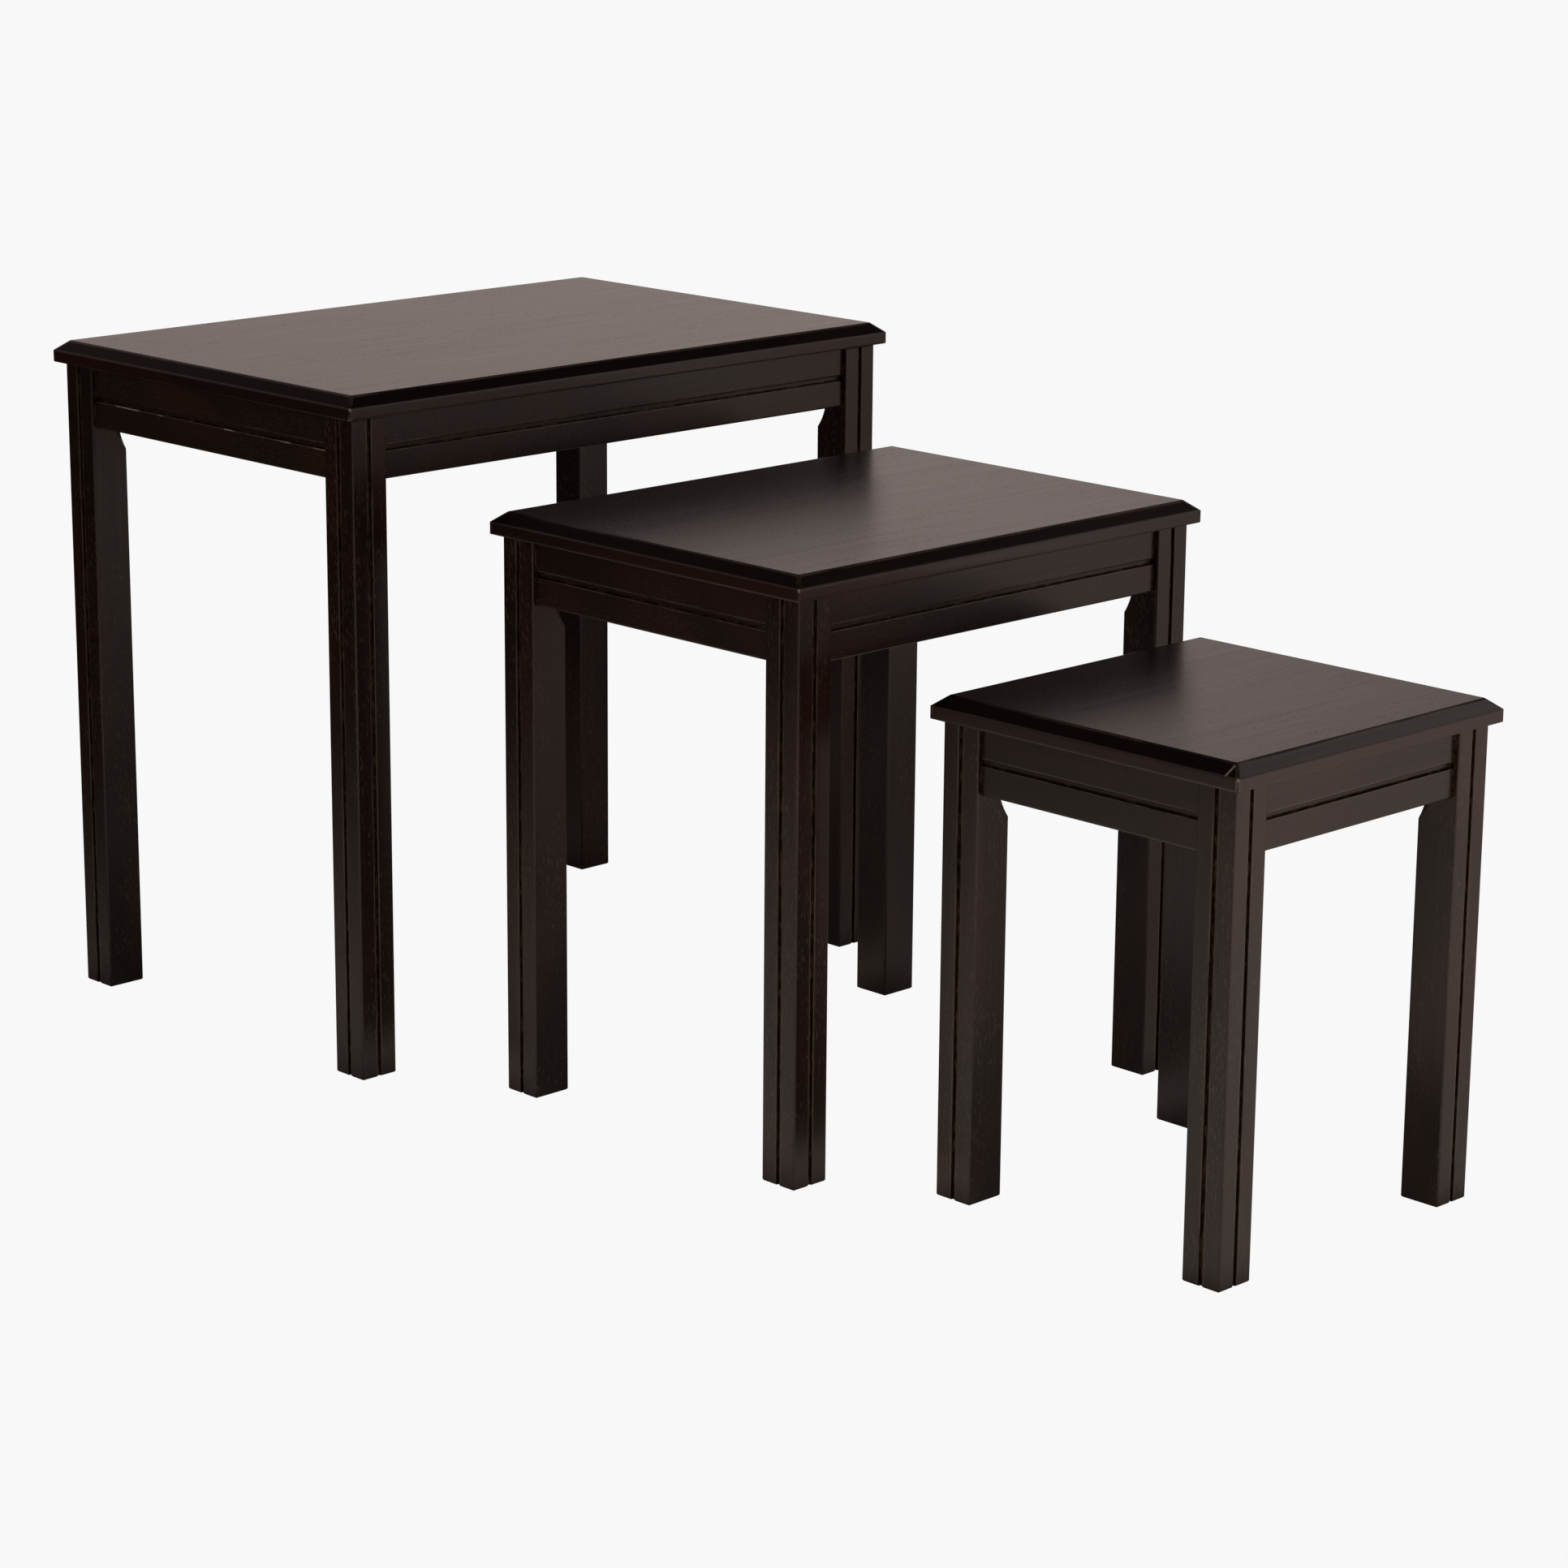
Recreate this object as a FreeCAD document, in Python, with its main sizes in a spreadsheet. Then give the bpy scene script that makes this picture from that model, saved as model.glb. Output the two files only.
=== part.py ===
import FreeCAD, Part
import os
import Sketcher

# A nest of three wooden tables, drawn out in a row along Y: large at the back, small at the front.
# Millimetres, +Z up, floor at Z = 0, origin at the middle of the row's footprint.
# The smaller tables slide along +Y, under the aprons of the next larger one.

Vector = FreeCAD.Vector
Rotation = FreeCAD.Rotation

# Driving dimensions: alias and value in millimetres.
DIMENSIONS = [
    ("large_length", 584), ("large_depth", 388), ("large_height", 550), ("large_row", 382),
    ("medium_length", 440), ("medium_depth", 337), ("medium_height", 465), ("medium_row", -59),
    ("small_length", 296), ("small_depth", 286), ("small_height", 380), ("small_row", -433),
    ("board_thickness", 18), ("lipping_width", 10), ("bevel_drop", 8.2), ("lipping_round", 1),
    ("overhang", 7), ("leg_side", 34), ("leg_round", 1.5), ("foot_chamfer", 1),
    ("groove_width", 4), ("groove_depth", 2.5), ("facet_cut", 10), ("runout_radius", 38),
    ("apron_thickness", 18), ("apron_depth", 51), ("apron_setback", 4), ("apron_round", 1.5),
    ("apron_groove_height", 24.5), ("apron_groove_width", 5),
    ("block_thickness", 20), ("block_height", 38), ("block_gap", 2.8),
    ("bolt_radius", 4), ("bolt_hole_radius", 4.5), ("bolt_length", 60), ("bolt_in_leg", 26),
    ("bolt_drop", 19), ("washer_radius", 8.5), ("washer_thickness", 1.6),
    ("nut_radius", 7.5), ("nut_height", 6.5),
    ("screw_radius", 2), ("screw_head_radius", 4), ("screw_head_height", 2.4), ("screw_tip", 4),
    ("counterbore_radius", 4.2),
    ("block_screw_length", 22), ("block_screw_along", 54), ("block_screw_spread", 10),
    ("block_screw_in_apron", 12),
    ("top_screw_length", 48), ("top_screw_side", 9), ("top_screw_back", 6), ("top_screw_in_board", 12),
]

TABLES = ["large", "medium", "small"]

# Sides and corners in order of a quarter turn each, anticlockwise seen from above.
SIDES = ["front", "right", "back", "left"]
CORNERS = ["front_left", "front_right", "back_right", "back_left"]
QUARTER_TURN = 90

# Direction of each corner from the table's middle, and of each side.
CORNER_SIGNS = [(-1, -1), (1, -1), (1, 1), (-1, 1)]
SIDE_SIGNS = [(0, -1), (1, 0), (0, 1), (-1, 0)]

VERTICAL = Vector(0, 0, 1)
DIAGONAL_TURN = 45

doc = FreeCAD.newDocument("NestingTables")


def fill_sheet():
    """The driving dimensions, one row each, with an alias for every value."""
    sheet = doc.addObject("Spreadsheet::Sheet", "Dims")
    for row, (alias, value) in enumerate(DIMENSIONS, start=1):
        sheet.set(f"A{row}", alias)
        sheet.set(f"B{row}", str(value))
        sheet.setAlias(f"B{row}", alias)
    doc.recompute()


def bind(thing, name, expression):
    """Bind one property to the sheet; each word in braces is an alias."""
    thing.setExpression(name, expression.replace("{", "Dims.").replace("}", ""))


def amount(thing, expression):
    """The present value of an expression, for a sketch's starting shape."""
    return float(thing.evalExpression(expression.replace("{", "Dims.").replace("}", "")))


def place(thing, x="0", y="0", z="0", turn=0):
    """Stand a sub-part in the frame, turned about the vertical by a fixed angle."""
    thing.Placement = FreeCAD.Placement(Vector(0, 0, 0), Rotation(VERTICAL, turn))
    bind(thing, "Placement.Base.x", x)
    bind(thing, "Placement.Base.y", y)
    bind(thing, "Placement.Base.z", z)


# ---------------------------------------------------------------- sketches and features

def new_body(label):
    body = doc.addObject("PartDesign::Body", label)
    body.Label = label
    return body


def new_sketch(body, plane, turn=0, turn_axis=VERTICAL, lift="0"):
    """A sketch on one of the body's own planes, turned and lifted within that plane's frame."""
    sketch = body.newObject("Sketcher::SketchObject", body.Name + "_sketch")
    support = [f for f in body.Origin.OriginFeatures if f.Role == plane][0]
    sketch.AttachmentSupport = [(support, "")]
    sketch.MapMode = "FlatFace"
    sketch.AttachmentOffset = FreeCAD.Placement(Vector(0, 0, 0), Rotation(turn_axis, turn))
    bind(sketch, "AttachmentOffset.Base.z", lift)
    return sketch


def draw_polygon(sketch, corners):
    """A closed outline whose corners are pairs of expressions, each held by two dimensions."""
    first = sketch.GeometryCount
    points = [Vector(amount(sketch, x), amount(sketch, y), 0) for x, y in corners]
    count = len(points)
    for i in range(count):
        sketch.addGeometry(Part.LineSegment(points[i], points[(i + 1) % count]), False)
    for i in range(count):
        sketch.addConstraint(Sketcher.Constraint("Coincident", first + i, 2, first + (i + 1) % count, 1))
    for i, (x, y) in enumerate(corners):
        hold_point(sketch, first + i, 1, x, y)


def draw_rectangle(sketch, left, right, bottom, top):
    draw_polygon(sketch, [(left, bottom), (right, bottom), (right, top), (left, top)])


def draw_circle(sketch, x, y, radius):
    centre = Vector(amount(sketch, x), amount(sketch, y), 0)
    index = sketch.addGeometry(Part.Circle(centre, Vector(0, 0, 1), amount(sketch, radius)), False)
    hold_point(sketch, index, 3, x, y)
    size = sketch.addConstraint(Sketcher.Constraint("Radius", index, amount(sketch, radius)))
    bind(sketch, f"Constraints[{size}]", radius)


def hold_point(sketch, index, position, x, y):
    """Dimension a point from the sketch's origin along both axes."""
    for kind, expression in (("DistanceX", x), ("DistanceY", y)):
        value = amount(sketch, expression)
        size = sketch.addConstraint(Sketcher.Constraint(kind, -1, 1, index, position, value))
        bind(sketch, f"Constraints[{size}]", expression)


def pad(body, sketch, length):
    feature = body.newObject("PartDesign::Pad", body.Name + "_pad")
    feature.Profile = sketch
    bind(feature, "Length", length)
    doc.recompute()


def pocket(body, sketch, depth=None, reverse=False, both_ways=False):
    """Cut a sketch through the body, or to a depth; it must take material away."""
    before = body.Shape.Volume
    feature = body.newObject("PartDesign::Pocket", body.Name + "_pocket")
    feature.Profile = sketch
    feature.Reversed = reverse
    feature.SideType = "Symmetric" if both_ways else "One side"
    if depth is None:
        feature.Type = "ThroughAll"
    else:
        feature.Type = "Length"
        bind(feature, "Length", depth)
    doc.recompute()
    if body.Shape.Volume >= before:
        raise RuntimeError(f"{feature.Name} cuts nothing")


def bore_diagonal(body, height, start, end, radius):
    """A round hole along the corner's diagonal, between two distances from the corner."""
    before = body.Shape.Volume
    sketch = new_sketch(body, "XY_Plane", turn=DIAGONAL_TURN, lift=height)
    draw_rectangle(sketch, start, end, "0", radius)
    feature = body.newObject("PartDesign::Groove", body.Name + "_bore")
    feature.Profile = sketch
    feature.ReferenceAxis = (sketch, ["H_Axis"])
    feature.Angle = 360
    doc.recompute()
    if body.Shape.Volume >= before:
        raise RuntimeError(f"{feature.Name} cuts nothing")


def round_edges(body, radius, wanted):
    """Round the edges of the body's last feature that the test picks out."""
    tip = body.Tip
    names = [f"Edge{i}" for i, edge in enumerate(tip.Shape.Edges, start=1) if wanted(edge)]
    feature = body.newObject("PartDesign::Fillet", body.Name + "_round")
    feature.Base = (tip, names)
    bind(feature, "Radius", radius)
    doc.recompute()


def middle(edge):
    return edge.valueAt((edge.FirstParameter + edge.LastParameter) / 2)


def runs_along(edge, direction):
    return edge.Curve.TypeId == "Part::GeomLine" and abs(edge.Curve.Direction.dot(direction)) > 0.999


def near(value, target):
    return abs(value - target) < 0.01


# ---------------------------------------------------------------- positions shared by the pieces

# Distances along the diagonal of a corner, measured from the leg's outer corner.
FACET = "(2 * {leg_side} - {facet_cut}) / sqrt(2)"
BLOCK_FACE = f"({FACET} + {{block_gap}})"
BLOCK_BACK = f"({BLOCK_FACE} + {{block_thickness}})"
APRON_INSIDE = "({apron_setback} + {apron_thickness})"
BLOCK_NEAR = f"({BLOCK_FACE} * sqrt(2) - {APRON_INSIDE})"
BLOCK_FAR = f"({BLOCK_BACK} * sqrt(2) - {APRON_INSIDE})"
BOLT_START = f"({FACET} - {{bolt_in_leg}})"

# The two screws up through a corner block, on either side of its bolt.
TOP_SCREW_DIAGONAL = f"({BLOCK_FACE} + {{top_screw_back}})"
TOP_SCREW_NEAR = f"(({TOP_SCREW_DIAGONAL} - {{top_screw_side}}) / sqrt(2))"
TOP_SCREW_FAR = f"(({TOP_SCREW_DIAGONAL} + {{top_screw_side}}) / sqrt(2))"
TOP_SCREW_SPOTS = [(TOP_SCREW_NEAR, TOP_SCREW_FAR), (TOP_SCREW_FAR, TOP_SCREW_NEAR)]

# Heights measured down from the underside of the top.
BLOCK_SCREW_DROPS = ["({bolt_drop} - {block_screw_spread})", "({bolt_drop} + {block_screw_spread})"]


def corner_place(table, corner):
    """Position expressions of a leg's outer corner, and its turn."""
    sign_x, sign_y = CORNER_SIGNS[corner]
    x = f"{sign_x} * ({{{table}_length}} / 2 - {{overhang}})"
    y = f"{{{table}_row}} + {sign_y} * ({{{table}_depth}} / 2 - {{overhang}})"
    return x, y, corner * QUARTER_TURN


def corner_spot(table, corner, along, across):
    """A point of the corner's own frame, as expressions in the table's frame, middle at zero."""
    sign_x, sign_y = CORNER_SIGNS[corner]
    if corner % 2:
        along, across = across, along
    x = f"{sign_x} * ({{{table}_length}} / 2 - {{overhang}} - {along})"
    y = f"{sign_y} * ({{{table}_depth}} / 2 - {{overhang}} - {across})"
    return x, y


def side_place(table, side, inset):
    """Position expressions of a side's middle, a given distance in from the top's edge."""
    sign_x, sign_y = SIDE_SIGNS[side]
    x = f"{sign_x} * ({{{table}_length}} / 2 - {inset})"
    y = f"{{{table}_row}} + {sign_y} * ({{{table}_depth}} / 2 - {inset})"
    return x, y, side * QUARTER_TURN


def side_span(table, side):
    return f"{{{table}_length}}" if side % 2 == 0 else f"{{{table}_depth}}"


# ---------------------------------------------------------------- wooden pieces

def make_top_panel(table):
    body = new_body(f"{table}_top_panel")
    outline = new_sketch(body, "XY_Plane")
    half_length = f"({{{table}_length}} / 2 - {{lipping_width}})"
    half_depth = f"({{{table}_depth}} / 2 - {{lipping_width}})"
    draw_rectangle(outline, "-1 * " + half_length, half_length, "-1 * " + half_depth, half_depth)
    pad(body, outline, "{board_thickness}")
    pilots = new_sketch(body, "XY_Plane")
    for corner in range(len(CORNERS)):
        for along, across in TOP_SCREW_SPOTS:
            x, y = corner_spot(table, corner, along, across)
            draw_circle(pilots, x, y, "{screw_radius}")
    pocket(body, pilots, depth="{top_screw_in_board}", reverse=True)
    place(body, "0", f"{{{table}_row}}", f"{{{table}_height}} - {{board_thickness}}")
    return body


def make_lipping(table, side):
    """Edge strip: inner face on local Y = 0, bevelled outer face towards -Y, ends mitred."""
    body = new_body(f"{table}_lipping_{SIDES[side]}")
    span = side_span(table, side)
    outline = new_sketch(body, "XY_Plane")
    outer = f"({span} / 2)"
    inner = f"({span} / 2 - {{lipping_width}})"
    draw_polygon(outline, [("-1 * " + inner, "0"), ("-1 * " + outer, "-1 * {lipping_width}"),
                           (outer, "-1 * {lipping_width}"), (inner, "0")])
    pad(body, outline, "{board_thickness}")
    bevel = new_sketch(body, "YZ_Plane")
    draw_polygon(bevel, [("0", "{board_thickness}"), ("-1 * {lipping_width}", "{board_thickness}"),
                         ("-1 * {lipping_width}", "{board_thickness} - {bevel_drop}")])
    pocket(body, bevel, both_ways=True)
    face = amount(body, "-1 * {lipping_width}")
    round_edges(body, "{lipping_round}",
                lambda edge: runs_along(edge, Vector(1, 0, 0)) and near(middle(edge).y, face))
    x, y, turn = side_place(table, side, "{lipping_width}")
    place(body, x, y, f"{{{table}_height}} - {{board_thickness}}", turn)
    return body


def make_apron(table, side):
    """Rail between two legs: outer face on local Y = 0, standing on its lower edge."""
    body = new_body(f"{table}_apron_{SIDES[side]}")
    half_span = f"({side_span(table, side)} / 2 - {{overhang}} - {{leg_side}})"
    outline = new_sketch(body, "XY_Plane")
    draw_rectangle(outline, "-1 * " + half_span, half_span, "0", "{apron_thickness}")
    pad(body, outline, "{apron_depth}")
    round_edges(body, "{apron_round}",
                lambda edge: runs_along(edge, Vector(1, 0, 0)) and near(middle(edge).z, 0))
    groove = new_sketch(body, "YZ_Plane")
    draw_rectangle(groove, "0", "{groove_depth}", "{apron_groove_height} - {apron_groove_width} / 2",
                   "{apron_groove_height} + {apron_groove_width} / 2")
    pocket(body, groove, both_ways=True)
    pilots = new_sketch(body, "XZ_Plane", lift="-1 * {apron_thickness}")
    for sign in (-1, 1):
        for drop in BLOCK_SCREW_DROPS:
            from_middle = f"{sign} * ({half_span} + {{leg_side}} - {{block_screw_along}})"
            draw_circle(pilots, from_middle, "{apron_depth} - " + drop, "{screw_radius}")
    pocket(body, pilots, depth="{block_screw_in_apron}", reverse=True)
    x, y, turn = side_place(table, side, "{overhang} - {apron_setback}")
    place(body, x, y, f"{{{table}_height}} - {{board_thickness}} - {{apron_depth}}", turn)
    return body


def make_leg(table, corner):
    """Square post: outer corner on the local Z axis, so the outer faces are X = 0 and Y = 0."""
    body = new_body(f"{table}_leg_{CORNERS[corner]}")
    leg_top = f"({{{table}_height}} - {{board_thickness}})"
    section = new_sketch(body, "XY_Plane")
    draw_rectangle(section, "0", "{leg_side}", "0", "{leg_side}")
    pad(body, section, leg_top)
    round_edges(body, "{leg_round}", lambda edge: runs_along(edge, VERTICAL))

    tip = body.Tip
    foot = [f"Edge{i}" for i, edge in enumerate(tip.Shape.Edges, start=1)
            if near(edge.BoundBox.ZMax, 0)]
    chamfer = body.newObject("PartDesign::Chamfer", body.Name + "_foot")
    chamfer.Base = (tip, foot)
    bind(chamfer, "Size", "{foot_chamfer}")
    doc.recompute()

    grooves = new_sketch(body, "XY_Plane")
    low = "{leg_side} / 2 - {groove_width} / 2"
    high = "{leg_side} / 2 + {groove_width} / 2"
    draw_rectangle(grooves, low, high, "0", "{groove_depth}")
    draw_rectangle(grooves, "0", "{groove_depth}", low, high)
    pocket(body, grooves, reverse=True)

    # The seat for the hanger bolt: a flat across the inner corner, with a cutter's run-out below it.
    facet_foot = f"({leg_top} - {{apron_depth}})"
    beyond = f"({FACET} + {{leg_side}})"
    facet = new_sketch(body, "XZ_Plane", turn=DIAGONAL_TURN, turn_axis=Vector(0, 1, 0))
    draw_rectangle(facet, FACET, beyond, facet_foot, leg_top)
    pocket(body, facet, both_ways=True)
    runout = new_sketch(body, "XZ_Plane", turn=DIAGONAL_TURN, turn_axis=Vector(0, 1, 0))
    draw_circle(runout, f"{FACET} + {{runout_radius}}", facet_foot, "{runout_radius}")
    pocket(body, runout, both_ways=True)
    bore_diagonal(body, f"{leg_top} - {{bolt_drop}}", BOLT_START, FACET, "{bolt_radius}")
    x, y, turn = corner_place(table, corner)
    place(body, x, y, "0", turn)
    return body


# ---------------------------------------------------------------- one of each repeated piece

def make_corner_block():
    """Block across a corner of the apron frame, top on Z = 0, in the leg's own frame."""
    body = new_body("corner_block")
    outline = new_sketch(body, "XY_Plane", lift="-1 * {block_height}")
    draw_polygon(outline, [(BLOCK_NEAR, APRON_INSIDE), (BLOCK_FAR, APRON_INSIDE),
                           (APRON_INSIDE, BLOCK_FAR), (APRON_INSIDE, BLOCK_NEAR)])
    pad(body, outline, "{block_height}")
    bore_diagonal(body, "-1 * {bolt_drop}", BLOCK_FACE, BLOCK_BACK, "{bolt_hole_radius}")

    seat = f"{APRON_INSIDE} - {{block_screw_in_apron}} + {{block_screw_length}} - {{screw_head_height}}"
    for plane, lift, reverse in (("XZ_Plane", f"-1 * ({seat})", False), ("YZ_Plane", seat, True)):
        shanks = new_sketch(body, plane)
        heads = new_sketch(body, plane, lift=lift)
        for drop in BLOCK_SCREW_DROPS:
            draw_circle(shanks, "{block_screw_along}", "-1 * " + drop, "{screw_radius}")
            draw_circle(heads, "{block_screw_along}", "-1 * " + drop, "{counterbore_radius}")
        pocket(body, shanks, reverse=reverse)
        pocket(body, heads, reverse=reverse)

    lift = "{top_screw_in_board} - {top_screw_length} + {screw_head_height}"
    shanks = new_sketch(body, "XY_Plane")
    heads = new_sketch(body, "XY_Plane", lift=lift)
    for along, across in TOP_SCREW_SPOTS:
        draw_circle(shanks, along, across, "{screw_radius}")
        draw_circle(heads, along, across, "{counterbore_radius}")
    pocket(body, shanks)
    pocket(body, heads)
    return body


def make_screw(label, length):
    """Pan-head wood screw standing on its tip, on the Z axis."""
    body = new_body(label)
    profile = new_sketch(body, "XZ_Plane")
    neck = f"{{{length}}} - {{screw_head_height}}"
    draw_polygon(profile, [("0", "0"), ("{screw_radius}", "{screw_tip}"), ("{screw_radius}", neck),
                           ("{screw_head_radius}", neck), ("{screw_head_radius}", f"{{{length}}}"),
                           ("0", f"{{{length}}}")])
    feature = body.newObject("PartDesign::Revolution", label + "_turned")
    feature.Profile = profile
    feature.ReferenceAxis = (profile, ["V_Axis"])
    feature.Angle = 360
    doc.recompute()
    return body


def make_hanger_bolt():
    """Headless bolt along Z, with a cone at the wood end."""
    shaft = doc.addObject("Part::Cylinder", "hanger_bolt_shaft")
    bind(shaft, "Radius", "{bolt_radius}")
    bind(shaft, "Height", "{bolt_length} - {screw_tip}")
    bind(shaft, "Placement.Base.z", "{screw_tip}")
    point = doc.addObject("Part::Cone", "hanger_bolt_point")
    point.Radius1 = 0
    bind(point, "Radius2", "{bolt_radius}")
    bind(point, "Height", "{screw_tip}")
    bolt = doc.addObject("Part::Fuse", "hanger_bolt")
    bolt.Base = shaft
    bolt.Tool = point
    return bolt


def make_ring(label, kind, radius_name, radius, height):
    """A washer or a nut: a disc or a hexagon with the bolt's hole through it."""
    disc = doc.addObject(kind, label + "_disc")
    bind(disc, radius_name, radius)
    bind(disc, "Height", height)
    hole = doc.addObject("Part::Cylinder", label + "_hole")
    bind(hole, "Radius", "{bolt_radius}")
    bind(hole, "Height", height)
    ring = doc.addObject("Part::Cut", label)
    ring.Base = disc
    ring.Tool = hole
    return ring


# ---------------------------------------------------------------- groups of repeated pieces

def make_group(label, copies, table):
    """One node with a copy of each given piece at every corner.

    copies: (piece, rotation, x, y, z), in the corner's frame, with z down from the top's underside.
    """
    links = []
    for corner in range(len(CORNERS)):
        for piece, rotation, along, across, drop in copies:
            link = doc.addObject("App::Link", label + "_copy")
            link.LinkedObject = piece
            turned = Rotation(VERTICAL, corner * QUARTER_TURN).multiply(rotation)
            link.Placement = FreeCAD.Placement(Vector(0, 0, 0), turned)
            x, y = corner_spot(table, corner, along, across)
            bind(link, "Placement.Base.x", x)
            bind(link, "Placement.Base.y", f"{{{table}_row}} + {y}")
            bind(link, "Placement.Base.z", f"{{{table}_height}} - {{board_thickness}} + {drop}")
            links.append(link)
    group = doc.addObject("Part::Compound", label)
    group.Label = label
    group.Links = links
    return group


def corner_copies(parts):
    """Where each repeated piece sits in a corner's own frame."""
    upright = Rotation(VERTICAL, 0)
    inward = Rotation(VERTICAL, Vector(1, 1, 0))
    bolt_drop = "(-1 * {bolt_drop})"

    def on_diagonal(piece, distance):
        spot = f"({distance}) / sqrt(2)"
        return (piece, inward, spot, spot, bolt_drop)

    washer_face = BLOCK_BACK
    nut_face = f"({BLOCK_BACK} + {{washer_thickness}})"
    tip = f"({APRON_INSIDE} - {{block_screw_in_apron}})"
    block_screws = []
    for drop in BLOCK_SCREW_DROPS:
        height = f"(-1 * {drop})"
        block_screws.append((parts["block_screw"], Rotation(VERTICAL, Vector(0, 1, 0)),
                             "{block_screw_along}", tip, height))
        block_screws.append((parts["block_screw"], Rotation(VERTICAL, Vector(1, 0, 0)),
                             tip, "{block_screw_along}", height))
    top_screws = [(parts["top_screw"], Rotation(Vector(1, 0, 0), 180), along, across,
                   "{top_screw_in_board}") for along, across in TOP_SCREW_SPOTS]
    return {
        "corner_blocks": [(parts["corner_block"], upright, "0", "0", "0")],
        "hanger_bolts": [on_diagonal(parts["hanger_bolt"], BOLT_START)],
        "bolt_washers": [on_diagonal(parts["washer"], washer_face)],
        "bolt_nuts": [on_diagonal(parts["nut"], nut_face)],
        "block_screws": block_screws,
        "top_screws": top_screws,
    }


def make_table(table, copies):
    nodes = [make_top_panel(table)]
    for side in range(len(SIDES)):
        nodes.append(make_lipping(table, side))
        nodes.append(make_apron(table, side))
    for corner in range(len(CORNERS)):
        nodes.append(make_leg(table, corner))
    for name, pieces in copies.items():
        nodes.append(make_group(f"{table}_{name}", pieces, table))
    return nodes


def export(nodes):
    doc.recompute()
    for thing in doc.Objects:
        if "Invalid" in thing.State or "Error" in thing.State:
            raise RuntimeError(f"{thing.Name} is {thing.State}")
    os.makedirs("parts", exist_ok=True)
    for node in nodes:
        if node.Shape.isNull() or not node.Shape.isValid():
            raise RuntimeError(f"{node.Label} has no valid shape")
        node.Shape.exportStep(f"parts/{node.Label}.step")


fill_sheet()
seeds = {
    "corner_block": make_corner_block(),
    "block_screw": make_screw("block_screw", "block_screw_length"),
    "top_screw": make_screw("top_screw", "top_screw_length"),
    "hanger_bolt": make_hanger_bolt(),
    "washer": make_ring("washer", "Part::Cylinder", "Radius", "{washer_radius}", "{washer_thickness}"),
    "nut": make_ring("nut", "Part::Prism", "Circumradius", "{nut_radius}", "{nut_height}"),
}
placements = corner_copies(seeds)
table_nodes = []
for table_name in TABLES:
    table_nodes += make_table(table_name, placements)
export(table_nodes)
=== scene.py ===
import bpy
import math
from mathutils import Euler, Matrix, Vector


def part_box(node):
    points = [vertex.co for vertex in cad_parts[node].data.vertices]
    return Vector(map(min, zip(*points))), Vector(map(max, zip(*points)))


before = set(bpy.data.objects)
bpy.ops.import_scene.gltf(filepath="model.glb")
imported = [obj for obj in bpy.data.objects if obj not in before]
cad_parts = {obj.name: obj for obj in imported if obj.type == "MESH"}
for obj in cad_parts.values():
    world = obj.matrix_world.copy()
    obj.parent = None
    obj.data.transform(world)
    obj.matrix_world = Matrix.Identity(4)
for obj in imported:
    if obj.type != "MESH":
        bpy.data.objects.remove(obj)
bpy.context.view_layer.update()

scene = bpy.context.scene

TABLES = ("large", "medium", "small")
UP = (0, 0, 1)
AXES = {"X": 0, "Y": 1, "Z": 2}


def colour(red, green, blue):
    return (red, green, blue, 1.0)


WHITE = colour(1, 1, 1)

# ---------------------------------------------------------------- camera

CAMERA_PLACE = (-2.312, -2.347, 1.0965)
CAMERA_HEADING = 44.446
CAMERA_DIP = 14.717
CAMERA_ROLL = 0.449
CAMERA_LENS = 98.3
SENSOR = 36.0
CLIP_END = 100


def add_camera():
    data = bpy.data.cameras.new("camera")
    data.lens = CAMERA_LENS
    data.sensor_width = SENSOR
    data.clip_end = CLIP_END
    camera = bpy.data.objects.new("camera", data)
    camera.location = CAMERA_PLACE
    aim = Euler((math.radians(90 - CAMERA_DIP), 0, math.radians(-CAMERA_HEADING)), "XYZ")
    roll = Euler((0, 0, math.radians(CAMERA_ROLL)), "XYZ")
    camera.rotation_euler = (aim.to_matrix() @ roll.to_matrix()).to_euler()
    scene.collection.objects.link(camera)
    scene.camera = camera


add_camera()

# ---------------------------------------------------------------- node helpers

OCCLUSION_SAMPLES = 12
BEVEL_SAMPLES = 6


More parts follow.
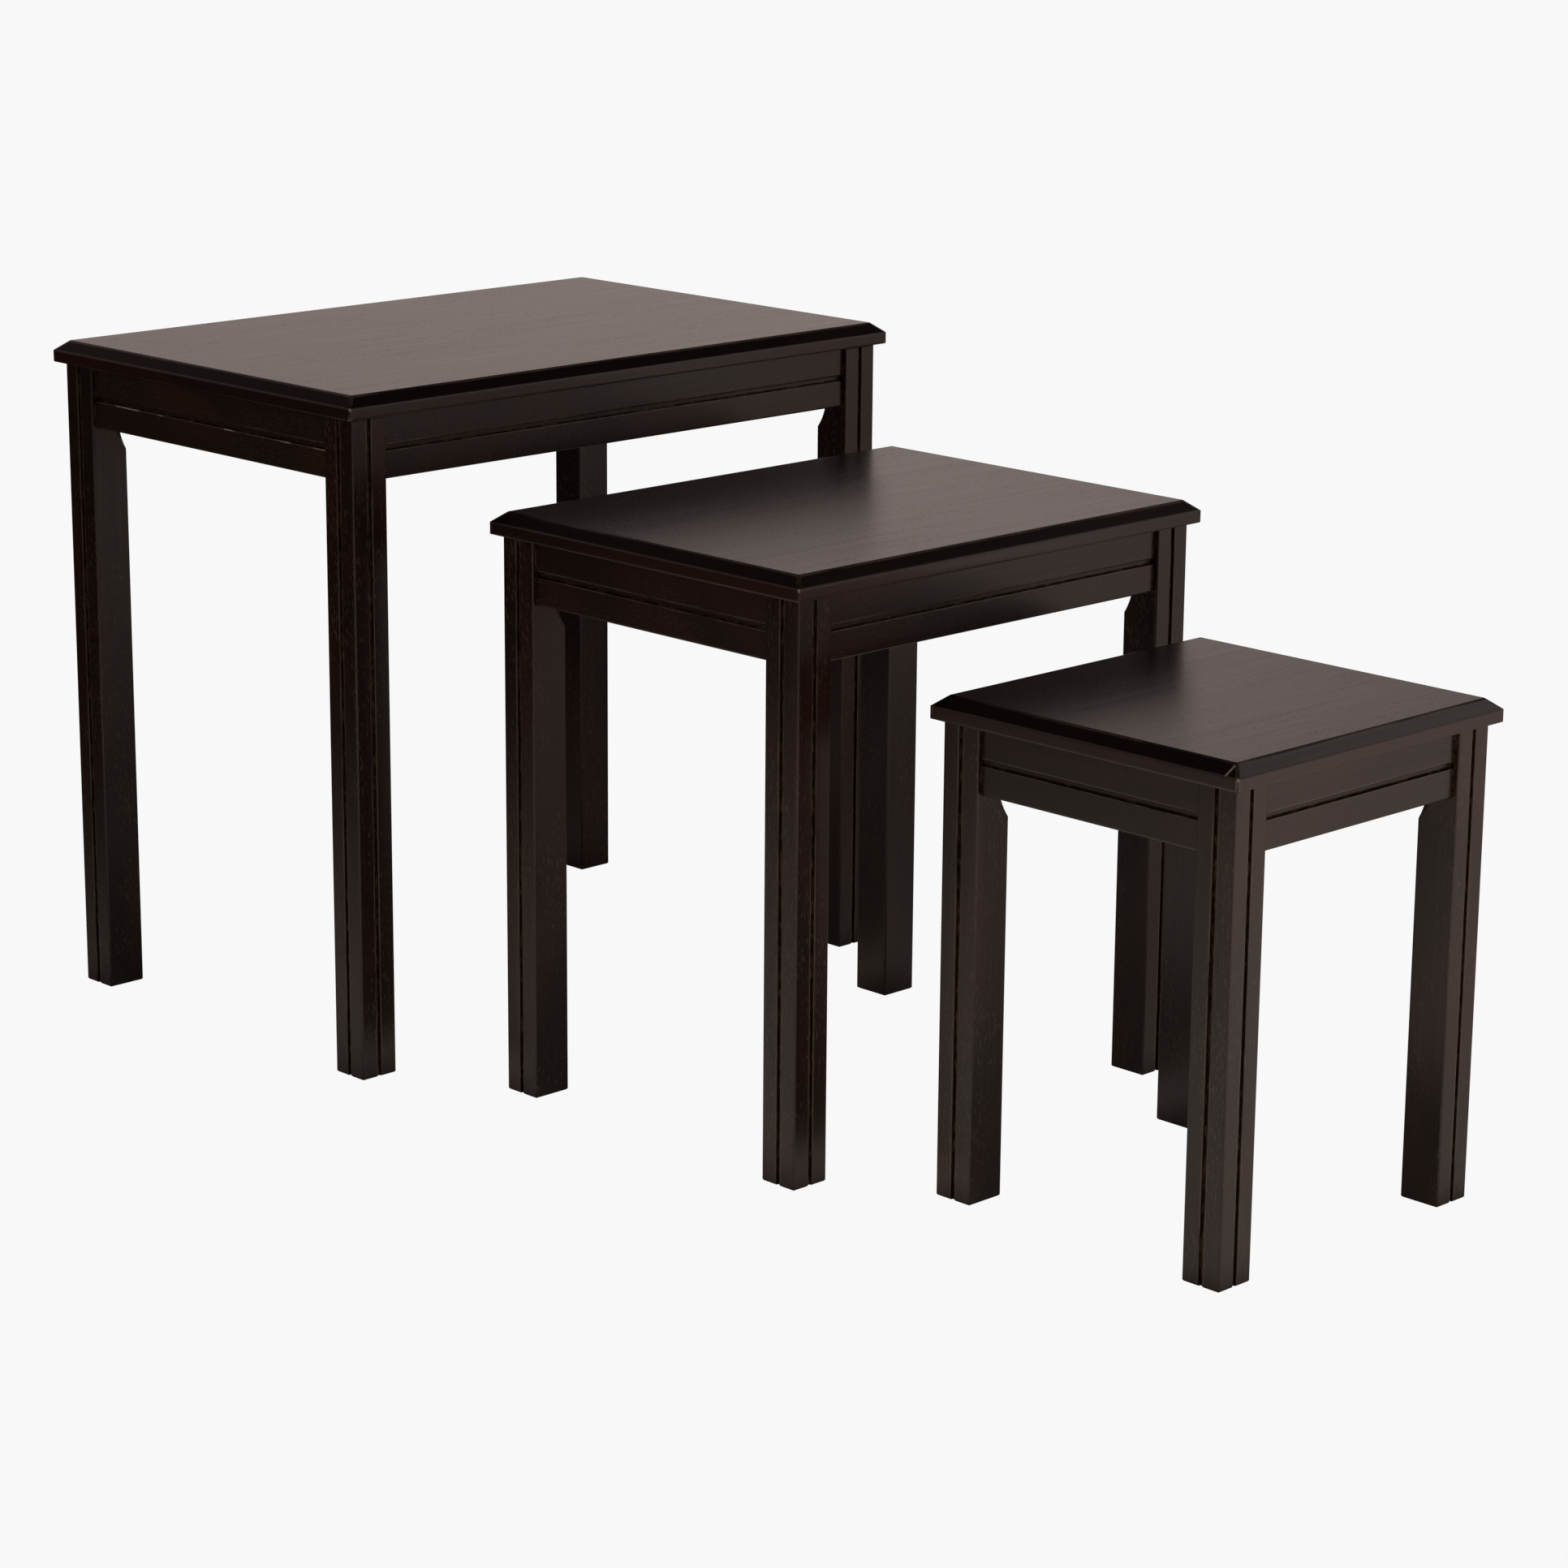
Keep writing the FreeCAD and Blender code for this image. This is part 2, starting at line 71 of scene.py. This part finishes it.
class Nodes:
    """A short way to add and join the nodes of one material or world."""

    def __init__(self, owner):
        owner.use_nodes = True
        self.tree = owner.node_tree
        self.tree.nodes.clear()

    def add(self, kind, inputs=None, **settings):
        node = self.tree.nodes.new(kind)
        for name, value in settings.items():
            setattr(node, name, value)
        for name, value in (inputs or {}).items():
            self.feed(node.inputs[name], value)
        return node

    def feed(self, socket, value):
        if isinstance(value, bpy.types.NodeSocket):
            self.tree.links.new(value, socket)
        else:
            socket.default_value = value

    def coordinate(self, space):
        return self.add("ShaderNodeTexCoord").outputs[space]

    def maths(self, operation, first, second=0.0, clamp=False):
        inputs = {0: first, 1: second}
        return self.add("ShaderNodeMath", inputs, operation=operation, use_clamp=clamp).outputs[0]

    def times(self, first, *others):
        for other in others:
            first = self.maths("MULTIPLY", first, other)
        return first

    def vector(self, operation, first, second=(0, 0, 0)):
        inputs = {0: first, 1: second}
        return self.add("ShaderNodeVectorMath", inputs, operation=operation).outputs["Vector"]

    def measure(self, operation, first, second=(0, 0, 0)):
        """Vector maths with one number as its result."""
        inputs = {0: first, 1: second}
        return self.add("ShaderNodeVectorMath", inputs, operation=operation).outputs["Value"]

    def part(self, vector, axis):
        return self.add("ShaderNodeSeparateXYZ", {"Vector": vector}).outputs[axis]

    def span(self, value, low, high, to_low=0.0, to_high=1.0):
        """Map low..high to to_low..to_high, smoothly and without passing the ends."""
        inputs = {"Value": value, "From Min": low, "From Max": high, "To Min": to_low, "To Max": to_high}
        return self.add("ShaderNodeMapRange", inputs, interpolation_type="SMOOTHSTEP").outputs["Result"]

    def blend(self, factor, first, second):
        inputs = {"Factor": factor, 6: first, 7: second}
        return self.add("ShaderNodeMix", inputs, data_type="RGBA").outputs[2]

    def occlusion(self, distance, inside=False):
        inputs = {"Distance": distance}
        settings = {"inside": inside, "samples": OCCLUSION_SAMPLES}
        return self.add("ShaderNodeAmbientOcclusion", inputs, **settings).outputs["AO"]

    def sum_shaders(self, first, second):
        return self.add("ShaderNodeAddShader", {0: first, 1: second}).outputs[0]

    def seen_directly(self, otherwise, seen):
        """One shader for the camera's own view, another for light and reflections."""
        direct = self.add("ShaderNodeLightPath").outputs["Is Camera Ray"]
        return self.add("ShaderNodeMixShader", {0: direct, 1: otherwise, 2: seen}).outputs[0]


# ---------------------------------------------------------------- patterns on the wood

# Noise drawn out along the grain. Sizes are in cycles per metre, along and across the grain.
# A pattern fades in between its levels. Levels of four also give its least and greatest strength.
STREAKS = {"along": 6, "across": 420, "detail": 4.0}
DRIFT = {"along": 5, "across": 14, "detail": 2.0, "distortion": 0.6, "levels": (0.40, 0.62)}
FIGURE = {"along": 16, "across": 110, "detail": 3.0, "distortion": 1.2, "levels": (0.5, 0.8, 0.0, 0.25)}
PATCHES = {"along": 7, "across": 26, "detail": 2.0, "levels": (0.40, 0.62)}
RUBBING = {"along": 14, "across": 70, "detail": 4.0, "levels": (0.40, 0.66)}
TEARING = {"along": 40, "across": 160, "detail": 5.0, "levels": (0.42, 0.60)}
SCUFFING = {"along": 30, "across": 60, "detail": 5.0, "levels": (0.53, 0.60)}
RAW_FLECKS = {"along": 110, "across": 420, "detail": 3.0, "levels": (0.50, 0.64)}

# Edges of pores and specks: the distances from a point's middle where a mark fades out and is
# full, as parts of the space between points.
PORES_PER_METRE = (190, 1150)
PORE_EDGE = (0.5, 0.2)
LEAST_PORES = 0.15
SPECKS_PER_METRE = 22.0
SPECK_EDGE = (0.011, 0.007)

# Where the grooves lie in the box of a piece. An apron's groove has its lower lip 22 of the
# 51 mm up. A leg's two grooves stand in the middle of its outer faces.
APRON_LIP_HEIGHT = 22 / 51
APRON_LIP_REACH = (0.030, 0.008)
LEG_LIP_REACH = (0.12, 0.09)

# Painted shade: a strip right under the top's overhang with less specular, as heights in the box of a
# piece.
SHADE_UNDER_TOP = {"apron": (0.950, 0.985), "leg": (0.9950, 0.9980)}


def stretched(nodes, grain, along, across):
    """Object space in cycles per metre, drawn out along the grain."""
    scale = [across, across, across]
    scale[AXES[grain]] = along
    inputs = {"Vector": nodes.coordinate("Object"), "Scale": scale}
    return nodes.add("ShaderNodeMapping", inputs).outputs["Vector"]


def noise(nodes, grain, along, across, detail, distortion=0.0, levels=None):
    place = stretched(nodes, grain, along, across)
    inputs = {"Vector": place, "Scale": 1.0, "Detail": detail, "Distortion": distortion}
    raw = nodes.add("ShaderNodeTexNoise", inputs).outputs["Fac"]
    return nodes.span(raw, *levels) if levels else raw


def cells(nodes, place, scale):
    """Distance to the nearest of many scattered points, and that point's own colour."""
    inputs = {"Vector": place, "Scale": scale, "Randomness": 1.0}
    outputs = nodes.add("ShaderNodeTexVoronoi", inputs).outputs
    own = nodes.add("ShaderNodeSeparateColor", {"Color": outputs["Color"]}).outputs
    return outputs["Distance"], own


def open_pores(nodes, grain, size, share):
    """Short separate strokes along the grain, thick in some patches and thin in others."""
    distance, own = cells(nodes, stretched(nodes, grain, *size), 1.0)
    dash = nodes.span(distance, *PORE_EDGE)
    picked = nodes.span(own["Red"], 1 - share, 1 - share * 0.7)
    patchy = nodes.times(noise(nodes, grain, **PATCHES), 1 - LEAST_PORES)
    return nodes.times(dash, picked, nodes.maths("ADD", patchy, LEAST_PORES))


def dust(nodes, share):
    """Tiny separate specks, far apart."""
    distance, own = cells(nodes, nodes.coordinate("Object"), SPECKS_PER_METRE)
    picked = nodes.span(own["Green"], 1 - share, 1 - share * 0.8)
    return nodes.times(nodes.span(distance, *SPECK_EDGE), picked)


def stroke(nodes, start, end, radius):
    """A short stroke on the surface from start to end."""
    line = Vector(end) - Vector(start)
    unit = line.normalized()
    offset = nodes.vector("SUBTRACT", nodes.coordinate("Object"), start)
    away = nodes.measure("LENGTH", nodes.vector("CROSS_PRODUCT", offset, unit))
    run = nodes.measure("DOT_PRODUCT", offset, unit)
    beside = nodes.span(away, radius, radius * 0.5)
    after_start = nodes.span(run, -radius, 0)
    before_end = nodes.span(run, line.length + radius, line.length)
    return nodes.times(beside, after_start, before_end)


def distance_from(nodes, value, middle):
    return nodes.maths("ABSOLUTE", nodes.maths("SUBTRACT", value, middle))


def groove_lip(nodes, kind):
    """Nearness to the lips of the cut grooves, from a piece's own box."""
    place = nodes.coordinate("Generated")
    if kind == "apron":
        away = distance_from(nodes, nodes.part(place, "Z"), APRON_LIP_HEIGHT)
        return nodes.span(away, *APRON_LIP_REACH)
    away_x = distance_from(nodes, nodes.part(place, "X"), 0.5)
    away_y = distance_from(nodes, nodes.part(place, "Y"), 0.5)
    return nodes.span(nodes.maths("MINIMUM", away_x, away_y), *LEG_LIP_REACH)


# ---------------------------------------------------------------- wood

STREAK_COLOUR = colour(0.004, 0.003, 0.0025)
# The colour of the painted highlights at the corner tips and on a bevel.
HIGHLIGHT_COLOUR = colour(0.55, 0.50, 0.48)
SPECK_COLOUR = colour(0.45, 0.40, 0.36)
TORN_COLOUR = colour(0.100, 0.068, 0.048)
SCUFF_COLOUR = colour(0.75, 0.66, 0.58)
RAW_DARK = colour(0.018, 0.0100, 0.0055)
RAW_PALE = colour(0.110, 0.070, 0.040)

SPECULAR = 0.5
SPECULAR_LOST = 0.42
LACQUER_IOR = 1.46
PORE_ROUGHNESS = 0.12
RAW_ROUGHNESS = 0.6
GRAIN_DEPTH = 0.0004
STREAK_RELIEF = 0.35

# How far occlusion looks, and how open a place is where a ridge or a hollow begins and is full.
RIDGE_REACH = 0.0022
RIDGE_OPENNESS = (0.86, 0.56)
HOLLOW_REACH = 0.0035
HOLLOW_OPENNESS = (0.80, 0.68)

# How far up a face looks, from -1 to 1: past facing down (for the worn edges), and from facing aside to
# facing up (for the painted shade that darkens upward faces such as the bevels).
NOT_DOWN = (-0.75, -0.25)
SHADE_FACING_UP = (0.3, 0.6)

# How the streaks change the tone and the roughness: levels, then least and greatest change.
STREAK_TONE = (0.35, 0.75, 0.0, 0.28)
STREAK_ROUGHNESS = (0.3, 0.7, -0.02, 0.03)


def stain(nodes, grain, dark, warm, streaks):
    """Two tones that drift into each other, with dark streaks and the figure of the wood."""
    base = nodes.blend(noise(nodes, grain, **DRIFT), dark, warm)
    base = nodes.blend(nodes.span(streaks, *STREAK_TONE), base, STREAK_COLOUR)
    return nodes.blend(noise(nodes, grain, **FIGURE), base, warm)


def worn_edge(nodes, facing):
    """The sharp arrises of a piece, without those that face down."""
    ridge = nodes.span(nodes.occlusion(RIDGE_REACH, inside=True), *RIDGE_OPENNESS)
    return nodes.times(ridge, nodes.span(facing, *NOT_DOWN))


def groove_edges(nodes, grain, kind, edge, scuffed, base):
    """Torn fibres, and white scuffs where there are any, along the lips of the grooves."""
    lip = nodes.times(groove_lip(nodes, kind), edge)
    base = nodes.blend(nodes.times(lip, noise(nodes, grain, **TEARING)), base, TORN_COLOUR)
    if scuffed:
        white = nodes.times(lip, noise(nodes, grain, **SCUFFING), scuffed)
        base = nodes.blend(white, base, SCUFF_COLOUR)
    return base


def raw_wood(nodes, grain):
    return nodes.blend(noise(nodes, grain, **RAW_FLECKS), RAW_DARK, RAW_PALE)


def lacquer(nodes, base, rough, gloss, relief, streaks, pore, eased_by):
    """The finished surface: eased arrises, with the grain showing through the lacquer."""
    grained = nodes.maths("SUBTRACT", nodes.times(streaks, STREAK_RELIEF), pore)
    eased = nodes.add("ShaderNodeBevel", {"Radius": eased_by}, samples=BEVEL_SAMPLES)
    bump = nodes.add("ShaderNodeBump", {
        "Height": grained,
        "Strength": relief,
        "Distance": GRAIN_DEPTH,
        "Normal": eased.outputs["Normal"],
    })
    shader = nodes.add("ShaderNodeBsdfPrincipled", {
        "Base Color": base,
        "Roughness": rough,
        "Specular IOR Level": gloss,
        "Normal": bump.outputs["Normal"],
        "IOR": LACQUER_IOR,
    })
    nodes.add("ShaderNodeOutputMaterial", {"Surface": shader.outputs["BSDF"]})


def wood(name, grain, dark, warm, pale, roughness, pores, pore_colour, wear, relief,
         kind=None, scuffed=0.0, pore_size=PORES_PER_METRE, share=0.45, shaded_upward_value=1.0,
         highlights=(), specks=0.0, eased_by=0.0012):
    """Stained, lacquered wood.

    grain: the axis that the grain runs along. roughness: of the lacquer.
    dark, warm: the two stain colours that drift into each other. pale: the tone of rubbed edges.
    pores: how far the open pores change the colour towards pore_colour. pore_size: pores per
    metre along and across the grain. share: the part of them that is open.
    wear: strength of the worn edges. relief: strength of the grain under the lacquer.
    kind: "apron" or "leg" where raw grooves are cut. scuffed: strength of the white scuffs.
    shaded_upward_value: painted shade, the brightness of the upward faces beside the rest.
    marks: the start, end and radius of each painted highlight at a corner tip or on a bevel. specks: the
    part of the dust that shows.
    eased_by: radius of the softened arrises.
    """
    material = bpy.data.materials.new(name)
    nodes = Nodes(material)
    streaks = noise(nodes, grain, **STREAKS)
    pore = open_pores(nodes, grain, pore_size, share)
    facing = nodes.measure("DOT_PRODUCT", nodes.add("ShaderNodeNewGeometry").outputs["Normal"], UP)

    base = stain(nodes, grain, dark, warm, streaks)
    base = nodes.blend(nodes.times(pore, pores), base, pore_colour)
    rough = nodes.maths("ADD", nodes.span(streaks, *STREAK_ROUGHNESS), roughness)
    rough = nodes.maths("ADD", rough, nodes.times(pore, PORE_ROUGHNESS), clamp=True)
    gloss = SPECULAR

    # Painted shade: upward faces, such as the bevels, are darkened to stand in for the dark overhead
    # that they reflect.
    if shaded_upward_value != 1.0:
        value = nodes.span(facing, *SHADE_FACING_UP, 1.0, shaded_upward_value)
        base = nodes.add("ShaderNodeHueSaturation", {"Color": base, "Value": value}).outputs["Color"]
    if wear:
        edge = worn_edge(nodes, facing)
        rubbed = nodes.times(edge, noise(nodes, grain, **RUBBING), wear)
        base = nodes.blend(rubbed, base, pale)
    # Painted highlights: pale strokes at the corner tips and on a bevel.
    for start, end, radius in highlights:
        base = nodes.blend(stroke(nodes, start, end, radius), base, HIGHLIGHT_COLOUR)
    if specks:
        base = nodes.blend(dust(nodes, specks), base, SPECK_COLOUR)
    if kind:
        base = groove_edges(nodes, grain, kind, edge, scuffed, base)
        deep = nodes.span(nodes.occlusion(HOLLOW_REACH), *HOLLOW_OPENNESS)
        base = nodes.blend(deep, base, raw_wood(nodes, grain))
        rough = nodes.maths("ADD", rough, nodes.times(deep, RAW_ROUGHNESS), clamp=True)
        # Painted shade: less specular in a strip under the top's overhang. The raw wood in the grooves
        # loses its specular too.
        shade_under_top = nodes.span(nodes.part(nodes.coordinate("Generated"), "Z"), *SHADE_UNDER_TOP[kind])
        raw_or_shaded = nodes.maths("MAXIMUM", deep, shade_under_top)
        gloss = nodes.maths("SUBTRACT", SPECULAR, nodes.times(raw_or_shaded, SPECULAR_LOST))

    lacquer(nodes, base, rough, gloss, relief, streaks, pore, eased_by)
    return material


# ---------------------------------------------------------------- surroundings

# The level directions straight ahead of the camera and to its right.
AHEAD = (math.sin(math.radians(CAMERA_HEADING)), math.cos(math.radians(CAMERA_HEADING)), 0)
ASIDE = (AHEAD[1], -AHEAD[0], 0)

LIGHT_TINT = colour(1.0, 0.87, 0.82)
SIDE_TINT = colour(1.0, 0.74, 0.68)
LEFT_TINT = colour(1.0, 0.86, 0.77)
RIGHT_TINT = colour(1.0, 0.80, 0.73)

# Where the surroundings fade in, by how far a direction of length 1 goes up, ahead and aside.
BACKDROP_TOP = (0.56, 0.30)
BACKDROP_RIGHT = (0.34, 0.02)
BACKDROP_LEFT = (-0.85, 0.05)
BACKDROP_AHEAD = (0.1, 0.5)
WINDOW_LEFT = (0.70, 0.90)
WINDOW_TOP = (0.40, 0.12)
SKYLIGHT_RIGHT = (-0.68, -0.86)
SKYLIGHT_FOOT = (0.25, 0.36)
SKYLIGHT_TOP = (0.80, 0.55)
SIDES_TOP = (0.75, 0.30)

BACKDROP_STRENGTH = 0.395
WINDOW_STRENGTH = 0.65
SKYLIGHT_STRENGTH = 0.45
CEILING_STRENGTH = 0.03
SIDES_STRENGTH = 0.20
PAPER_SEEN = 0.93

# Lit pools on the floor: middle, radius of full light, radius of no light, strength, tint.
FLOOR_POOLS = [
    ((-0.71, -0.57, 0), 0.29, 1.9, 0.67, LEFT_TINT),
    ((0.61, -2.93, 0), 1.48, 2.63, 0.92, RIGHT_TINT),
    ((6.0, -6.0, 0), 3.2, 5.3, 0.97, RIGHT_TINT),
]
FLOOR_DIM = 0.02
FLOOR_HALF = 40
FLOOR_SEEN = 0.935
FLOOR_COLOUR = colour(0.05, 0.05, 0.05)

# The shade under a table, from the middle of its top (0) past the top's edge (1).
SHADE_REACH = (0.85, 1.35)
SHADE_DEEPEST = 0.25


def background(nodes, tint, strength):
    return nodes.add("ShaderNodeBackground", {"Color": tint, "Strength": strength}).outputs[0]


def emission(nodes, tint, strength):
    return nodes.add("ShaderNodeEmission", {"Color": tint, "Strength": strength}).outputs[0]


def add_world():
    """A pale backdrop, dim sides, a window low on the right and a skylight on the left.

    They give only the light and the reflections on the tables. The camera sees plain paper.
    """
    world = bpy.data.worlds.new("studio")
    nodes = Nodes(world)
    direction = nodes.coordinate("Generated")
    height = nodes.measure("DOT_PRODUCT", direction, UP)
    ahead = nodes.measure("DOT_PRODUCT", direction, AHEAD)
    aside = nodes.measure("DOT_PRODUCT", direction, ASIDE)

    backdrop = nodes.times(
        nodes.span(height, *BACKDROP_TOP),
        nodes.span(aside, *BACKDROP_RIGHT),
        nodes.span(aside, *BACKDROP_LEFT),
        nodes.span(ahead, *BACKDROP_AHEAD),
        BACKDROP_STRENGTH,
    )
    window = nodes.times(
        nodes.span(aside, *WINDOW_LEFT),
        nodes.span(height, *WINDOW_TOP, 0.0, WINDOW_STRENGTH),
    )
    skylight = nodes.times(
        nodes.span(aside, *SKYLIGHT_RIGHT),
        nodes.span(height, *SKYLIGHT_FOOT),
        nodes.span(height, *SKYLIGHT_TOP, 0.0, SKYLIGHT_STRENGTH),
    )
    sides = nodes.span(height, *SIDES_TOP, CEILING_STRENGTH, SIDES_STRENGTH)

    front = background(nodes, LIGHT_TINT, nodes.maths("ADD", backdrop, window))
    around = background(nodes, SIDE_TINT, nodes.maths("ADD", sides, skylight))
    paper = background(nodes, WHITE, PAPER_SEEN)
    surface = nodes.seen_directly(nodes.sum_shaders(front, around), paper)
    nodes.add("ShaderNodeOutputWorld", {"Surface": surface})
    scene.world = world


def under_table(nodes, place, table):
    """Shade on the floor below one table, from the box of its top panel."""
    low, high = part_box(f"{table}_top_panel")
    middle = ((low[0] + high[0]) / 2, (low[1] + high[1]) / 2, 0)
    half = ((high[0] - low[0]) / 2, (high[1] - low[1]) / 2, 1)
    offset = nodes.vector("SUBTRACT", place, middle)
    offset = nodes.vector("ABSOLUTE", nodes.vector("DIVIDE", offset, half))
    reach = nodes.maths("MAXIMUM", nodes.part(offset, "X"), nodes.part(offset, "Y"))
    return nodes.span(reach, *SHADE_REACH, SHADE_DEEPEST, 1.0)


def floor_bounce(nodes):
    """The light that the floor throws on the tables: pools, with shade under each table."""
    place = nodes.coordinate("Object")
    shade = 1.0
    for table in TABLES:
        shade = nodes.maths("MULTIPLY", under_table(nodes, place, table), shade)
    bounce = emission(nodes, LEFT_TINT, FLOOR_DIM)
    for middle, bright, dark, strength, tint in FLOOR_POOLS:
        distance = nodes.measure("DISTANCE", place, middle)
        lit = nodes.times(nodes.span(distance, bright, dark, strength, 0.0), shade)
        bounce = nodes.sum_shaders(bounce, emission(nodes, tint, lit))
    return bounce


def floor_paper():
    """Pale paper to the camera, pools of light to the tables."""
    material = bpy.data.materials.new("floor")
    nodes = Nodes(material)
    matt = nodes.add("ShaderNodeBsdfDiffuse", {"Color": FLOOR_COLOUR}).outputs[0]
    paper = nodes.sum_shaders(matt, emission(nodes, WHITE, FLOOR_SEEN))
    surface = nodes.seen_directly(floor_bounce(nodes), paper)
    nodes.add("ShaderNodeOutputMaterial", {"Surface": surface})
    return material


def add_floor():
    half = FLOOR_HALF
    corners = [(-half, -half, 0), (half, -half, 0), (half, half, 0), (-half, half, 0)]
    mesh = bpy.data.meshes.new("floor")
    mesh.from_pydata(corners, [], [(0, 1, 2, 3)])
    mesh.materials.append(floor_paper())
    floor = bpy.data.objects.new("floor", mesh)
    scene.collection.objects.link(floor)


def add_softbox(name, place, aim, size, power):
    data = bpy.data.lights.new(name, "AREA")
    data.shape = "SQUARE"
    data.size = size
    data.energy = power
    data.color = LIGHT_TINT[:3]
    light = bpy.data.objects.new(name, data)
    light.location = place
    light.visible_camera = False
    light.rotation_euler = (Vector(aim) - Vector(place)).to_track_quat("-Z", "Y").to_euler()
    scene.collection.objects.link(light)


scene.view_settings.view_transform = "Standard"
add_world()
add_floor()
add_softbox("right_softbox", place=(1.25, -0.9, 1.25), aim=(0, -0.4, 0.3), size=0.8, power=1.15)

# ---------------------------------------------------------------- materials on the CAD nodes

DARK = colour(0.0125, 0.0055, 0.0040)
WARM = colour(0.0260, 0.0090, 0.0056)
PALE = colour(0.115, 0.078, 0.058)
FLECK = colour(0.140, 0.104, 0.084)
# The large left apron's tones, lighter than the other aprons: real scuffing, and a painted sheen.
SHEEN_SCUFFED_DARK = colour(0.0240, 0.0125, 0.0088)
SHEEN_SCUFFED_WARM = colour(0.0380, 0.0170, 0.0112)

# Painted highlights at the near left corner tips and one on the small top's bevel, as steps in metres
# from the near left corner of a top: start, end, radius.
CORNER_HIGHLIGHT = ((0, 0, -0.0078), (0, -0.0005, -0.0088), 0.0018)
BEVEL_HIGHLIGHT = ((0.0077, 0.0098, -0.0019), (0.0008, 0.0115, -0.0075), 0.0012)


def highlight_on(table, highlight):
    """A painted highlight on one table's top, in the row frame."""
    start, end, radius = highlight
    low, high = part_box(f"{table}_lipping_left")
    corner = Vector((low[0], low[1], high[2]))
    return corner + Vector(start), corner + Vector(end), radius


CORNER_HIGHLIGHTS = [highlight_on(table, CORNER_HIGHLIGHT) for table in reversed(TABLES)]


def apron_wood(name, grain, scuffed=0.0, dark=DARK, warm=WARM):
    return wood(name, grain, dark, warm, PALE, roughness=0.27, pores=0.15, pore_colour=FLECK,
                wear=0.8, relief=0.05, kind="apron", scuffed=scuffed)


def leg_wood():
    return wood("leg_wood", "Z", DARK, WARM, PALE, roughness=0.25, pores=0.6, pore_colour=FLECK,
                wear=1.0, relief=0.05, kind="leg", pore_size=(170, 1250), share=0.25)


def edge_wood(name, grain, highlights):
    return wood(name, grain,
                dark=colour(0.0185, 0.0080, 0.0059),
                warm=colour(0.0300, 0.0105, 0.0070),
                pale=colour(0.180, 0.120, 0.095),
                roughness=0.23, pores=0.12, pore_colour=colour(0.030, 0.020, 0.016),
                wear=0.8, relief=0.02, shaded_upward_value=0.4, highlights=highlights, eased_by=0.0025)


def veneer():
    return wood("top_veneer", "X",
                dark=colour(0.0180, 0.0105, 0.0080),
                warm=colour(0.0260, 0.0130, 0.0095),
                pale=PALE,
                roughness=0.22, pores=0.8, pore_colour=colour(0.003, 0.002, 0.002),
                wear=0.0, relief=0.018, specks=0.5)


def block_wood():
    return wood("block_wood", "X",
                dark=colour(0.42, 0.28, 0.16),
                warm=colour(0.48, 0.31, 0.17),
                pale=colour(0.55, 0.40, 0.25),
                roughness=0.6, pores=0.35, pore_colour=colour(0.22, 0.13, 0.07),
                wear=0.2, relief=0.1)


MOTTLES_PER_METRE = 900.0
MOTTLE_DARKEST = 0.7
MOTTLE_TONE = (0.35, 0.7)
MOTTLE_ROUGHNESS = (0.3, 0.7, -0.06, 0.08)


def metal(name, tint, roughness):
    """Zinc plate: fine mottling in the tone and the polish."""
    material = bpy.data.materials.new(name)
    nodes = Nodes(material)
    inputs = {"Vector": nodes.coordinate("Object"), "Scale": MOTTLES_PER_METRE, "Detail": 4.0}
    mottle = nodes.add("ShaderNodeTexNoise", inputs).outputs["Fac"]
    darker = colour(*[channel * MOTTLE_DARKEST for channel in tint[:3]])
    shade = nodes.blend(nodes.span(mottle, *MOTTLE_TONE), tint, darker)
    rough = nodes.maths("ADD", nodes.span(mottle, *MOTTLE_ROUGHNESS), roughness)
    bump = nodes.add("ShaderNodeBump", {"Height": mottle, "Strength": 0.1, "Distance": 0.0001})
    shader = nodes.add("ShaderNodeBsdfPrincipled", {
        "Base Color": shade,
        "Metallic": 1.0,
        "Roughness": rough,
        "Normal": bump.outputs["Normal"],
    })
    nodes.add("ShaderNodeOutputMaterial", {"Surface": shader.outputs["BSDF"]})
    return material


APRON = {axis: apron_wood(f"apron_wood_{axis.lower()}", axis) for axis in "XY"}
# The large left apron: real white scuffs, and lighter tones that are partly a painted sheen.
SCUFFED_SHEEN_APRON = apron_wood("apron_wood_scuffed_sheen", "Y", scuffed=1.0, dark=SHEEN_SCUFFED_DARK, warm=SHEEN_SCUFFED_WARM)
LEG = leg_wood()
EDGE = {axis: edge_wood(f"edge_wood_{axis.lower()}", axis, CORNER_HIGHLIGHTS) for axis in "XY"}
HIGHLIGHTED_EDGE = edge_wood("edge_wood_highlighted", "Y", CORNER_HIGHLIGHTS + [highlight_on("small", BEVEL_HIGHLIGHT)])
VENEER = veneer()
BLOCK = block_wood()
ZINC = metal("bright_zinc", colour(0.62, 0.63, 0.64), 0.28)
YELLOW_ZINC = metal("yellow_zinc", colour(0.66, 0.53, 0.28), 0.30)


def material_for(name):
    grain = "X" if name.endswith(("front", "back")) else "Y"
    if "leg" in name:
        return LEG
    if name == "large_apron_left":
        return SCUFFED_SHEEN_APRON
    if "apron" in name:
        return APRON[grain]
    if name == "small_lipping_left":
        return HIGHLIGHTED_EDGE
    if "lipping" in name:
        return EDGE[grain]
    if "panel" in name:
        return VENEER
    if "screw" in name:
        return YELLOW_ZINC
    if "block" in name:
        return BLOCK
    return ZINC


def set_material(node, material):
    for slot in node.material_slots:
        slot.link = "OBJECT"
        slot.material = material


for name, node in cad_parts.items():
    set_material(node, material_for(name))
